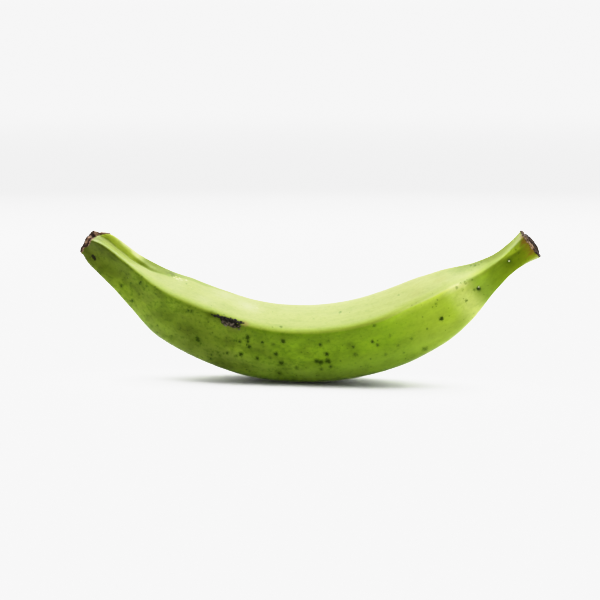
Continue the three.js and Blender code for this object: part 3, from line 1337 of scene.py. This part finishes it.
@dataclass
class SkinPart:
    """A dead part that lies on the skin: skin lifted off the peel, made finer, roughened and thickened."""

    peel: bpy.types.Object
    spine: Spine
    name: str = "skin_part"
    tissue: Tissue = Tissue.SCAB
    cuts: int = 2
    thickness: float = 0.5 * MM
    sunk: float = 0.25 * MM  # how deep its edges lie in the skin
    bed: float = 0.6 * MM  # how deep the peel sinks under it
    slack: float = 1.5  # how far outside its outline skin is lifted before it is trimmed, in millimetres
    lip: float = 0.6  # how far inside its outline it is fully lifted
    bed_edge: tuple[float, float] = (0.4, 1.1)  # how far inside the peel starts to sink, and is fully sunk

    def reach(self, at: Place) -> np.ndarray:
        """The part's ragged outline.

        Args:
            at: places on the fruit.

        Returns:
            How far inside the outline each place is, in millimetres, negative outside.
        """
        raise NotImplementedError

    def rise(self, at: Place) -> np.ndarray:
        """The part's relief.

        Args:
            at: places on the fruit.

        Returns:
            How high it stands over the skin at each place, in millimetres, away from its edges.
        """
        raise NotImplementedError

    def scorch(self, at: Place) -> np.ndarray:
        """The part's dark places.

        Args:
            at: places on the fruit.

        Returns:
            How dark it is at each place, from 0 to 1.
        """
        raise NotImplementedError

    def build(self) -> bpy.types.Object:
        """Lifts, refines, trims, roughens and thickens the skin, and sinks the peel under it.

        Returns:
            The finished piece.
        """
        piece = copy_of(self.peel, self.name)
        for stored in ("unbent", "edge", "furrow"):
            piece.data.attributes.remove(piece.data.attributes[stored])
        keep_faces(piece, self.reach(Place.of(self.spine, centres_of(piece))) > -self.slack)
        with editing(piece):
            bpy.ops.mesh.subdivide(number_cuts=self.cuts)
        keep_faces(piece, self.reach(Place.of(self.spine, centres_of(piece))) > 0)

        at = Place.of(self.spine, points_of(piece))
        inside = step(self.reach(at), 0.0, self.lip)
        rise = self.rise(at)
        lift = rise * MM * inside - self.sunk * (1 - inside)
        low, high = np.percentile(rise, (4, 96))
        store(piece, "rise", np.clip((rise - low) / (high - low), 0, 1))
        store(piece, "scorch", np.clip(self.scorch(at), 0, 1))
        move_points(piece, at.points + normals_of(piece) * lift[:, None])
        apply_modifier(piece, "SOLIDIFY", thickness=self.thickness, offset=-1.0)

        under = Place.of(self.spine, points_of(self.peel))
        bed = self.bed * step(self.reach(under), *self.bed_edge)
        move_points(self.peel, under.points - normals_of(self.peel) * bed[:, None])
        return finish_mesh(piece, self.tissue.value.material())


@dataclass
class StalkCut(SkinPart):
    """The cut end of the stalk: a ragged rim of peel round a fibrous core."""

    name: str = "stalk_cut"
    tissue: Tissue = Tissue.CUT_STALK
    cuts: int = 1
    bed: float = 1.0 * MM
    rim: tuple[float, float] = (1.0, 1.35)  # how far beyond the peel's end the rim turns into the face
    groove: float = 1.62  # and where the groove round the core is
    core: tuple[float, float] = (1.7, 2.3)  # and where the core stands proud
    groove_width: float = 0.28
    groove_depth: float = 0.5
    dark_groove: float = 0.25  # how wide it is dark
    dark_core: tuple[float, float] = (1.6, 1.9)  # where the dark core starts, and is darkest

    def beyond(self, at: Place) -> np.ndarray:
        """How far beyond the spine's end each place is, in millimetres."""
        return at.along - self.spine.length / MM

    def reach(self, at: Place) -> np.ndarray:
        """Everything beyond a ragged line just before the rim."""
        return self.beyond(at) + 0.3 + 0.6 * lumps(at.points, 1.6 * MM, 11.0, 2)

    def rise(self, at: Place) -> np.ndarray:
        """A torn rim, a groove inside it, and a core of broken fibres.

        Args:
            at: places on the fruit.

        Returns:
            The height at each, in millimetres.
        """
        out = self.beyond(at)
        belly = step(np.abs(at.turn), 90.0, 120.0)
        torn = 0.25 - 0.5 * belly + 0.5 * lumps(at.points, 1.1 * MM, 4.0, 2)
        rim = step(out, self.rim[1], self.rim[0]) * torn
        groove = self.groove_depth * bell(out, self.groove, self.groove_width)
        fibres = -0.25 + 0.35 * lumps(at.points, 0.8 * MM, 7.0, 3) + 0.3 * lumps(at.points, 3 * MM, 9.0)
        return 0.1 + rim - groove + fibres * step(out, *self.core)

    def scorch(self, at: Place) -> np.ndarray:
        """Darkest in the groove and in the middle.

        Args:
            at: places on the fruit.

        Returns:
            The darkness at each, from 0 to 1.
        """
        out = self.beyond(at)
        top = 0.5 + 0.5 * np.cos(np.radians(at.turn))
        belly = step(np.abs(at.turn), 95.0, 125.0)
        edge = (0.15 + 0.75 * np.maximum(top**2, belly)) * step(out, self.rim[1], self.rim[0])
        return edge + 0.9 * bell(out, self.groove, self.dark_groove) + step(out, *self.dark_core)


@dataclass
class BlossomEnd(SkinPart):
    """The withered blossom end: a wrinkled brown stub with a scarred tip and a dry strip up the crest."""

    name: str = "blossom_end"
    tissue: Tissue = Tissue.BLOSSOM
    cuts: int = 1
    bed: float = 1.2 * MM
    strip: float = 5.6  # how much further it runs on the crest, in millimetres
    strip_turn: float = -9.0  # in degrees
    strip_width: float = 9.0
    notch_turn: float = 20.0
    notch_width: float = 9.0
    notch_depth: float = 0.9
    crack_inside: float = 1.35  # how far inside its edge the crack runs
    crack_width: float = 0.4
    crack_depth: float = 0.45
    tip: float = 3.2  # how far before the spine's start its side turns into its tip
    tip_radius: float = 7.5 * MM

    def reach(self, at: Place) -> np.ndarray:
        """Everything up to a ragged line round the fruit, which reaches further on the crest.

        Args:
            at: places on the fruit.

        Returns:
            How far inside each is, in millimetres.
        """
        strip = self.strip * bell(at.turn, self.strip_turn, self.strip_width)
        belly = 1.5 * step(np.abs(at.turn), 88.0, 112.0)
        return 0.3 + strip - belly + 0.45 * lumps(at.points, 1.4 * MM, 21.0, 2) - at.along

    def rise(self, at: Place) -> np.ndarray:
        """Wrinkles and a crack down its side, lobes and a pit on its tip, and a notch beside the crest.

        Args:
            at: places on the fruit.

        Returns:
            The height at each, in millimetres.
        """
        angle = np.radians(at.turn)
        share = at.radius / self.tip_radius
        around = np.column_stack([np.cos(angle) * 3.2, np.sin(angle) * 3.2, at.along / 3])
        wrinkles = lumps(around, 0.55, 5.0, 3)
        side = step(share, 0.75, 1.0)
        pit = 0.35 * bell(share, 0.34, 0.1) - 0.5 * bell(share, 0.0, 0.16)
        lobes = 0.25 * np.cos(5 * angle + 1.4) * step(share, 0.3, 0.8)
        gap = (at.turn - self.notch_turn + 180.0) % 360.0 - 180.0
        notch = bell(gap, 0.0, self.notch_width) * step(share, 0.4, 0.8) * step(at.along, 0.0, -1.0)
        rough = lumps(at.points, 0.9 * MM, 8.0, 3)
        standing = 0.15 + 0.30 * wrinkles * (0.4 + 0.6 * side) + 0.3 * rough + (pit + lobes) * (1 - side)
        return standing - self.notch_depth * notch - self.crack_depth * self.crack(at)

    def crack(self, at: Place) -> np.ndarray:
        """The crack just inside its edge, everywhere but on the crest, from 0 to 1."""
        off_crest = step(np.abs(at.turn + 6.0), 14.0, 34.0)
        return bell(self.reach(at), self.crack_inside, self.crack_width) * off_crest

    def scorch(self, at: Place) -> np.ndarray:
        """Darkest in the crack and round the tip's edge."""
        edge = 0.8 * bell(at.along, -self.tip, 0.55) + 0.35 * step(at.along, -self.tip, -3.8)
        return 0.15 + 0.9 * self.crack(at) + edge - 0.3 * step(at.along, 0, 2)


@dataclass
class Scab(SkinPart):
    """A cork scab on the front upper ridge: a long black streak, with a grey crust along its lower side."""

    name: str = "ridge_scab"
    tissue: Tissue = Tissue.SCAB
    cuts: int = 3
    streak: tuple[float, float, float, float] = (94.0, 60.5, 10.3, 1.35)
    crust: tuple[float, float, float, float] = (96.6, 65.0, 6.8, 1.9)
    lean: float = -1.7  # degrees that the streak turns in each half of its length

    def oval(self, at: Place, shape: tuple[float, float, float, float], lean: float) -> np.ndarray:
        """How far inside a long oval each place is, in millimetres.

        Args:
            at: the places.
            shape: where its middle is, along and in degrees round the fruit, and half its length and width.
            lean: how many degrees it turns in half its length.

        Returns:
            The distance, negative outside.
        """
        along, turn, half_length, half_width = shape
        down = (at.along - along) / half_length
        across = np.radians(at.turn - turn - lean * down) * at.radius / MM
        room = half_width * np.sqrt(np.clip(1 - down**2, 0, 1)) - np.abs(across)
        return np.where(np.abs(down) < 1, room, room - 4.0)

    def reach(self, at: Place) -> np.ndarray:
        """The streak and the crust, both ragged."""
        ragged = 0.8 * lumps(at.points, 1.3 * MM, 31.0, 3)
        return np.maximum(self.oval(at, self.streak, self.lean), self.oval(at, self.crust, 0.0)) + ragged

    def rise(self, at: Place) -> np.ndarray:
        """A broken crust."""
        return 0.22 + 0.42 * lumps(at.points, 0.9 * MM, 14.0, 4)

    def scorch(self, at: Place) -> np.ndarray:
        """Black in the streak."""
        return 1.1 * step(self.oval(at, self.streak, self.lean), -0.7, 0.3)


@dataclass
class SmallThings:
    """Small copies of one modelled thing, each with its own mesh, set on the skin and then joined."""

    skin: Skin
    name: str
    master: bpy.types.Object  # the modelled thing, a unit long, with its foot at the origin and +Z up
    made: list[bpy.types.Object] = field(default_factory=list)

    def set_down(
        self, along: float, turn: float, size: Sequence[float], spin: float, lean: float = 0.0
    ) -> None:
        """Sets a copy on the skin, by millimetres along the spine and degrees round it."""
        _, tangent, _ = self.skin.spine.frame(along * MM)
        self.place((*self.skin.spot(along, turn), tangent), size, spin, lean)

    def place(
        self, stand: tuple[Vector, Vector, Vector], size: Sequence[float], spin: float, lean: float = 0.0
    ) -> None:
        """Sets a copy anywhere.

        Args:
            stand: where its foot is, which way is up for it, and which way it faces.
            size: how large it is along its own axes, in metres.
            spin: how far it is turned on the spot, in degrees.
            lean: how far it leans over, in degrees.
        """
        point, normal, tangent = stand
        side = normal.cross(tangent).normalized()
        base = Matrix((side.cross(normal), side, normal)).transposed().to_4x4()
        turned = Matrix.Rotation(math.radians(spin), 4, "Z") @ Matrix.Rotation(math.radians(lean), 4, "X")
        grown = Matrix.Diagonal((*size, 1.0))
        copy = copy_of(self.master, f"{self.name}_{len(self.made)}")
        copy.data.transform(Matrix.Translation(point) @ base @ turned @ grown)
        self.made.append(copy)

    def join(self, material: bpy.types.Material) -> bpy.types.Object:
        """Joins the copies into one piece, and drops the master.

        Args:
            material: the finish.

        Returns:
            The joined piece.
        """
        bpy.data.objects.remove(self.master)
        deselect()
        for copy in self.made:
            copy.select_set(True)
        bpy.context.view_layer.objects.active = self.made[0]
        bpy.ops.object.join()
        piece = bpy.context.object
        piece.name = self.name
        return finish_mesh(piece, material)


@dataclass
class StalkFibres:
    """Ends of the bundles that ran through the stalk, broken off short at the cut."""

    skin: Skin
    count: int = 84
    core: float = 6.6 * MM
    thickness: float = 0.30 * MM
    widths: tuple[float, float] = (0.7, 1.25)  # from which to which share of that
    heights: tuple[float, float] = (0.5 * MM, 1.0 * MM)
    lean: float = 14.0  # in degrees, either way
    rooted: float = 0.3 * MM  # how deep it stands in the cut
    above: float = 12 * MM  # where the cut is looked for from, beyond the spine's end
    seed: int = 17

    def build(self) -> bpy.types.Object:
        """Models one broken fibre and sets its copies over the cut in a spiral.

        Returns:
            The finished piece.
        """
        deselect()
        bpy.ops.mesh.primitive_cylinder_add(vertices=7, radius=1.0, depth=1.0, location=(0, 0, 0.5))
        fibre = bpy.context.object
        for polygon in fibre.data.polygons:
            polygon.select = polygon.normal.z > 0.9
        with editing(fibre, whole=False):
            bpy.ops.mesh.inset(thickness=0.35, depth=0.12)
            bpy.ops.mesh.inset(thickness=0.3, depth=-0.25)

        draw = random.Random(self.seed)
        things = SmallThings(self.skin, "stalk_fibres", fibre)
        end, tangent, up = self.skin.spine.frame(self.skin.spine.length)
        side = tangent.cross(up)
        golden = math.pi * (3.0 - math.sqrt(5.0))
        for k in range(self.count):
            radius = self.core * math.sqrt((k + 0.5) / self.count) * draw.uniform(0.94, 1.03)
            angle = k * golden + draw.uniform(-0.1, 0.1)
            across = up * (radius * math.cos(angle)) + side * (radius * math.sin(angle))
            point, _, _, _ = self.skin.tree.ray_cast(end + across + tangent * self.above, -tangent)
            height = draw.uniform(*self.heights)
            width = self.thickness * draw.uniform(*self.widths)
            stand = (point - tangent * self.rooted, tangent, up)
            spin = draw.uniform(0, 360)
            things.place(stand, (width, width, height), spin, draw.uniform(-self.lean, self.lean))
        piece = things.join(Tissue.CUT_STALK.value.material())
        store(piece, "rise", 0.6)
        store(piece, "scorch", 0.75)
        return piece


@dataclass
class ScabFlakes:
    """Thin grey flakes that curl up from the scab's lower edge."""

    skin: Skin
    count: int = 16
    along: tuple[float, float] = (91.0, 102.5)  # from where to where they lie
    turn: tuple[float, float] = (64.0, 70.0)
    size: tuple[float, float] = (0.7, 1.5)  # in millimetres
    forwards: float = 0.25 * MM  # how far they stand off the skin in front
    seed: int = 5

    def build(self) -> bpy.types.Object:
        """Models one curled flake and scatters its copies.

        Returns:
            The finished piece.
        """
        deselect()
        bpy.ops.mesh.primitive_plane_add(size=1.0)
        flake = bpy.context.object
        with editing(flake):
            bpy.ops.mesh.subdivide(number_cuts=5)
        points = points_of(flake)
        out = np.hypot(points[:, 0], points[:, 1])
        squeeze = np.clip(0.46 / np.maximum(out, 1e-6), 0, 1) * (1 + 0.25 * lumps(points, 0.3, 2.0, 2))
        points[:, :2] *= squeeze[:, None]
        points[:, 2] = 0.9 * points[:, 0] ** 2 + 0.25 * points[:, 1] ** 2 + 0.08 * lumps(points, 0.25, 6.0)
        move_points(flake, points)
        apply_modifier(flake, "SOLIDIFY", thickness=0.09, offset=0.0)

        draw = random.Random(self.seed)
        things = SmallThings(self.skin, "scab_flakes", flake)
        for _ in range(self.count):
            along = draw.uniform(*self.along)
            turn = draw.uniform(*self.turn)
            length = draw.uniform(*self.size) * MM
            size = (length, length * draw.uniform(0.5, 0.9), length * 0.6)
            things.set_down(along, turn, size, draw.uniform(0, 360), draw.uniform(-20, 20))
        for copy in things.made:
            copy.data.transform(Matrix.Translation((0.0, -self.forwards, 0.0)))
        piece = things.join(Tissue.SCAB.value.material())
        store(piece, "rise", 0.9)
        return piece


@dataclass
class SapBeads:
    """Dried beads of sap and small warts on the neck."""

    skin: Skin
    places: tuple[tuple[float, float, float], ...] = (
        (265.0, 86.0, 0.44), (243.6, 97.5, 0.40), (262.5, 250.0, 0.40), (190.0, 310.0, 0.35),
    )  # along, turn and radius

    def build(self) -> bpy.types.Object:
        """Models one bead and sets its copies down.

        Returns:
            The finished piece.
        """
        deselect()
        bpy.ops.mesh.primitive_ico_sphere_add(subdivisions=3, radius=1.0)
        bead = bpy.context.object
        points = points_of(bead)
        points *= (1 + 0.12 * lumps(points, 0.7, 3.0, 2))[:, None]
        points[:, 2] = np.where(points[:, 2] < 0, 0.4 * points[:, 2], 0.65 * points[:, 2])
        move_points(bead, points)
        things = SmallThings(self.skin, "sap_beads", bead)
        for k, (along, turn, radius) in enumerate(self.places):
            things.set_down(along, turn, Vector((radius * 1.15, radius, radius)) * MM, 40.0 * k)
        return things.join(DriedSap().material())


# ---- The studio ----


@dataclass
class Studio:
    """The paper, the light and the camera."""

    target: tuple[float, float, float] = (-3.5 * MM, 0.0, 45.5 * MM)
    azimuth: float = 8.0
    elevation: float = 8.5
    distance: float = 0.80
    lens: float = 85.0
    sensor: float = 36.0
    clip_start: float = 0.01
    paper_radius: float = 60.0
    table_radius: float = 1.5
    shoulder: float = 0.6  # the light above which it turns white more slowly
    white: float = 0.93
    brightest: float = 4.0  # the light that is given as white
    stops: int = 12  # of the curve between the two
    surround: float = 1.8  # how bright the rim at the horizon is
    rim_edge: tuple[float, float] = (97.0, 93.0)  # degrees from straight down, where it starts and is full
    room: float = 0.12  # how bright the room is in front
    backdrop: float = 7.0  # how bright it is behind
    backdrop_rise: float = 35.0  # degrees above the horizon
    backdrop_edge: tuple[float, float] = (82.0, 36.0)  # degrees from its middle
    softbox: float = 20.0  # how bright the patch overhead is
    softbox_edge: tuple[float, float] = (30.0, 14.0)  # degrees from its middle
    softbox_tilt: float = 14.0  # degrees that its middle is behind overhead

    def build_camera(self) -> None:
        """Places the camera and makes it the scene's own."""
        a, e = math.radians(self.azimuth), math.radians(self.elevation)
        back = Vector((math.sin(a) * math.cos(e), -math.cos(a) * math.cos(e), math.sin(e)))
        data = bpy.data.cameras.new("camera")
        data.lens = self.lens
        data.sensor_width = self.sensor
        data.clip_start = self.clip_start
        camera = bpy.data.objects.new("camera", data)
        camera.location = Vector(self.target) + back * self.distance
        camera.rotation_euler = back.to_track_quat("Z", "Y").to_euler()
        bpy.context.scene.collection.objects.link(camera)
        bpy.context.scene.camera = camera

    def build_paper(self) -> bpy.types.Object:
        """Lays the paper: a disc as wide as the horizon, with a smaller one inset where the fruit lies.

        Returns:
            The paper.
        """
        deselect()
        bpy.ops.mesh.primitive_circle_add(vertices=64, radius=self.paper_radius, fill_type="NGON")
        paper = bpy.context.object
        paper.name = "white_paper"
        with editing(paper):
            bpy.ops.mesh.inset(thickness=self.paper_radius - self.table_radius)
        return finish_mesh(paper, Paper().material(self.surround))

    def build_light(self) -> None:
        """Makes the surround: dim in front, bright behind, with a soft patch overhead and a pale rim."""
        world = bpy.data.worlds.new("pale_surround")
        world.use_nodes = True
        nodes = Nodes(world.node_tree)
        way = nodes.add("TexCoord").outputs["Generated"]
        rise = math.radians(self.backdrop_rise)
        tilt = math.radians(self.softbox_tilt)
        level: Value = self.room
        for direction, edge, light in (
            ((0.0, math.cos(rise), math.sin(rise)), self.backdrop_edge, self.backdrop),
            ((0.0, math.sin(tilt), math.cos(tilt)), self.softbox_edge, self.softbox),
            ((0.0, 0.0, -1.0), self.rim_edge, self.surround),
        ):
            near = nodes.add("VectorMath", {0: way, 1: direction}, operation="DOT_PRODUCT").outputs["Value"]
            share = nodes.ease(near, *(math.cos(math.radians(angle)) for angle in edge))
            level = nodes.add("Mix", {"Factor": share, "A": level, "B": light}).outputs["Result"]
        background = nodes.tree.nodes["Background"]
        nodes.feed(background.inputs["Strength"], level)
        nodes.feed(background.inputs["Color"], WHITE)
        bpy.context.scene.world = world

    def expose(self) -> None:
        """Sets how light becomes colour: as it is up to the shoulder, and then ever more slowly to white."""
        settings = bpy.context.scene.view_settings
        settings.view_transform = "Standard"
        settings.use_curve_mapping = True
        mapping = settings.curve_mapping
        mapping.clip_max_x = self.brightest
        room = self.white - self.shoulder
        points = mapping.curves[3].points
        points[0].location = (0.0, 0.0)
        points[1].location = (self.shoulder, self.shoulder)
        for past in np.arange(1, self.stops + 1) / 4:
            points.new(self.shoulder + room * past, self.shoulder + room * (1.0 - math.exp(-past)))
        points.new(self.brightest, self.white)
        mapping.update()


def main() -> None:
    """Builds the fruit and its studio, and reports each piece."""
    logging.basicConfig(level=logging.INFO, format="%(message)s")
    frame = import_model()
    spine = Spine()

    peel = Peel(spine).build(frame["nodes"][NODE])
    skin = Skin.of(spine, peel)
    pieces = [
        peel,
        StalkCut(peel, spine).build(),
        StalkFibres(skin).build(),
        BlossomEnd(peel, spine).build(),
        Scab(peel, spine).build(),
        ScabFlakes(skin).build(),
        SapBeads(skin).build(),
    ]
    finish_mesh(peel, GreenPeel(MARKS).material(skin))
    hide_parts(NODE)
    for piece in pieces:
        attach(piece, BODY)
        log.info("%s: %d faces", piece.name, len(piece.data.polygons))

    studio = Studio()
    studio.build_paper()
    studio.build_light()
    studio.expose()
    studio.build_camera()


if __name__ == "__main__":
    main()
